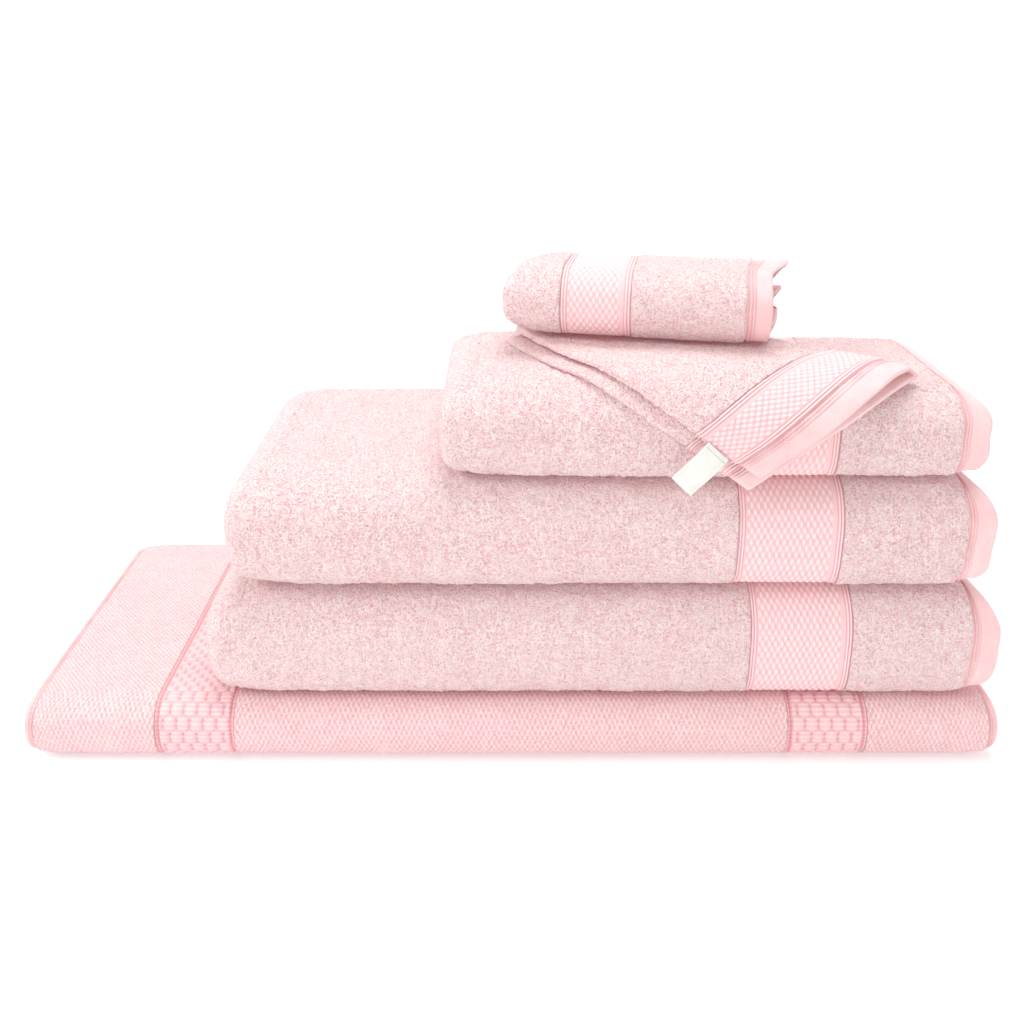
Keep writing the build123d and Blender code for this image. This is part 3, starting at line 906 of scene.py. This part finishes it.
def top_washer(seed=51):
    names = [f"top_washer_{part}" for part in ("terry", "border", "end_terry", "hem", "hem_stitching")]
    low, high = node_box(*names)
    base_z = low[2]
    turn = math.radians(-11)
    centre = np.array([(low[0] + high[0]) / 2, (low[1] + high[1]) / 2])
    height = high[2] - low[2]
    length = 235 * MM
    depth = 88 * MM
    gap = 0.6 * MM
    strip = (height - 3 * gap) / 4
    step = strip + gap
    radius = height / 2
    back_radius = strip + gap / 2
    back_y = depth - back_radius
    level = [k * step + strip / 2 for k in range(4)]
    path = Path()
    path.line((depth - strip / 2, level[3]), (radius, level[3]), 1.9, 8)
    path.arc((radius, radius), radius - strip / 2, 90, 270, 1.35, 4)
    path.line((radius, level[0]), (back_y, level[0]), 5, 8)
    path.arc((back_y, back_radius), back_radius - strip / 2, -90, 90, 1.8, 4)
    path.line((back_y, level[1]), (radius, level[1]), 8, 8)
    path.arc((radius, radius), radius - step - strip / 2, 270, 90, 2.5, 2.5)
    path.line((radius, level[2]), (depth - strip / 2, level[2]), 5, 8)
    half = strip / 2 - 0.5 * MM
    x0, x1 = -length / 2, length / 2

    def warp(u, a, l):
        y, z = squared(a, l, radius, radius)
        near_left = np.exp(-((u - x0) / (26 * MM)) ** 2)
        right = np.clip((u - (x1 - 46 * MM)) / (46 * MM), 0, 1)
        lev = (z - radius) / radius
        reach = np.clip((depth * 0.5 - y) / (depth * 0.5), 0, 1)
        behind = np.clip((y - depth * 0.45) / (depth * 0.55), 0, 1)
        x = u + near_left * MM * (13 * np.abs(lev) ** 3 + 3 * reach ** 4 + 7 * behind ** 4)
        layer = np.clip(np.floor(l / step), 0, 3).astype(int)
        out = np.array([9.0, 3.0, 11.0, 15.0])[layer]
        x = x + right ** 1.5 * MM * out * smooth(behind, 0.1, 0.9)
        x = x - right ** 2 * MM * 4.0 * reach * np.abs(lev) ** 3
        z = radius + (z - radius) * (1 - 0.14 * near_left)
        flare = np.array([3.0, -1.0, 2.5, 4.5])[layer]
        curl = np.array([0.6, 2.2, 1.4, 2.6])[layer]
        z = z + right ** 1.5 * MM * (flare * behind + curl * behind * noise(y, z * 0, 24 * MM, seed + 8))
        z = z * (1 - 0.06 * right * (1 - behind))
        y = y + near_left * MM * 4 * reach ** 2
        y = y + MM * 1.0 * noise(u, z, 50 * MM, seed) * reach ** 2 + 0.6 * MM * reach
        xx, yy = x, y - depth / 2
        c, s = math.cos(turn), math.sin(turn)
        return np.stack([
            centre[0] + xx * c - yy * s,
            centre[1] + xx * s + yy * c,
            base_z + np.maximum(z, 0.2 * MM),
        ], 1)

    hem_wide, end_panel, border_wide = 21 * MM, 98 * MM, 62 * MM
    hem_x = x1 - hem_wide
    panel_x = hem_x - end_panel
    border_x = panel_x - border_wide
    cloth = Cloth()
    rows = rows_between(x0, border_x, 1.8 * MM, round_low=half)
    cloth.ribbon(path, half, rows, warp, terry_relief(seed, 0.8))
    terry = cloth.build("top_washer_terry_cloth", TERRY, "terry_pile")
    cloth = Cloth()
    cloth.ribbon(path, half - 1.1 * MM, rows_between(border_x, panel_x, 0.65 * MM), warp,
                 border_relief(border_x, panel_x, seed), fine=0.7)
    border = cloth.build("top_washer_woven_border", WEAVE, "woven_border")
    cloth = Cloth()
    rows = rows_between(panel_x, hem_x, 1.8 * MM, round_high=2 * MM, turns=3)
    cloth.ribbon(path, half, rows, warp, terry_relief(seed + 3, 0.8))
    end = cloth.build("top_washer_end_terry_cloth", TERRY, "terry_pile")
    cloth = Cloth()
    cloth.ribbon(path, 2.6 * MM, rows_between(hem_x - 3 * MM, x1, 0.8 * MM, round_high=2.2 * MM), warp,
                 hem_relief(seed, hem_x), offset=half - 4.4 * MM)
    hem = cloth.build("top_washer_hem_tape", TWILL, "hem_tape")
    cloth = Cloth().begin_stitches()
    lines = [hem_x + 2.7 * MM, hem_x + 5.5 * MM]
    cloth.stitches(path, 2.6 * MM, lines, STITCH_PITCH, 0.003, path.length * 0.5, offset=half - 4.0 * MM)
    cloth.stitched(warp)
    stitches = cloth.build("top_washer_hem_stitches", THREAD, "hem_thread")
    for piece, node in zip((terry, border, end, hem, stitches), names):
        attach(piece, "top_washer")
        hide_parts(node)


# ---------------------------------------------------------------- camera, light and floor

def camera_and_light():
    low, high = CAD_BOX
    data = bpy.data.cameras.new("camera")
    data.sensor_width = 36
    data.lens = 35.74
    data.shift_y = -0.1465
    data.clip_start = 0.05
    cam = bpy.data.objects.new("camera", data)
    bpy.context.scene.collection.objects.link(cam)
    cam.location = ((low[0] + high[0]) / 2 + 0.001, low[1] - 0.7591, 0.629)
    cam.rotation_euler = (math.radians(90 - 17.74), 0, 0)
    bpy.context.scene.camera = cam

    turns, rim = 96, 1.5
    outline = [(0.0, 0.0), (1.5, 0.0), (3.5, 0.0)]
    curve = np.linspace(0.15, math.pi / 2, 12)
    outline += [(3.5 + rim * math.sin(t), rim * (1 - math.cos(t))) for t in curve]
    outline += [(3.5 + rim, 3.6)]
    points, faces = [(0.0, 0.0, 0.0)], []
    for radius, height in outline[1:]:
        for k in range(turns):
            w = 2 * math.pi * k / turns
            points.append((radius * math.cos(w), radius * math.sin(w), height))
    for k in range(turns):
        faces.append((0, 1 + k, 1 + (k + 1) % turns))
    for ring in range(len(outline) - 2):
        for k in range(turns):
            a, b = 1 + ring * turns + k, 1 + ring * turns + (k + 1) % turns
            faces.append((a, a + turns, b + turns, b))
    mesh = bpy.data.meshes.new("floor")
    mesh.from_pydata(points, [], faces)
    mesh.polygons.foreach_set("use_smooth", [True] * len(mesh.polygons))
    floor = bpy.data.objects.new("floor", mesh)
    bpy.context.scene.collection.objects.link(floor)
    mat = bpy.data.materials.new("floor_white")
    mat.use_nodes = True
    shader = mat.node_tree.nodes["Principled BSDF"]
    shader.inputs["Base Color"].default_value = (0.82, 0.82, 0.82, 1)
    shader.inputs["Roughness"].default_value = 0.9
    socket(shader, "Emission Color").default_value = (1.0, 1.0, 1.0, 1.0)
    socket(shader, "Emission Strength").default_value = 0.3
    mesh.materials.append(mat)

    def area(name, place, aim, size, power, colour=(1, 1, 1)):
        light = bpy.data.lights.new(name, "AREA")
        light.shape = "DISK"
        light.size = size
        light.energy = power
        light.color = colour
        obj = bpy.data.objects.new(name, light)
        bpy.context.scene.collection.objects.link(obj)
        obj.location = place
        obj.rotation_euler = (Vector(aim) - Vector(place)).to_track_quat("-Z", "Y").to_euler()

    area("key", (-1.9, -0.9, 1.9), (0, 0, 0.2), 1.0, 26)
    area("top", (0.1, 0.3, 2.6), (0, 0, 0.2), 1.4, 38)
    world = bpy.data.worlds.new("studio")
    bpy.context.scene.world = world
    world.use_nodes = True
    background = world.node_tree.nodes["Background"]
    background.inputs[0].default_value = (1.0, 0.99, 0.99, 1)
    background.inputs[1].default_value = 0.62
    bpy.context.scene.view_settings.view_transform = "Standard"


camera_and_light()
bath_mat()
towel("lower_towel", 3, droop=3.0 * MM)
towel("upper_towel", 7, droop=5.0 * MM)
towel("hand_towel", 13, 2.12, droop=5.0 * MM, tilt=10 * MM)
draped_washer()
washer_label()
top_washer()
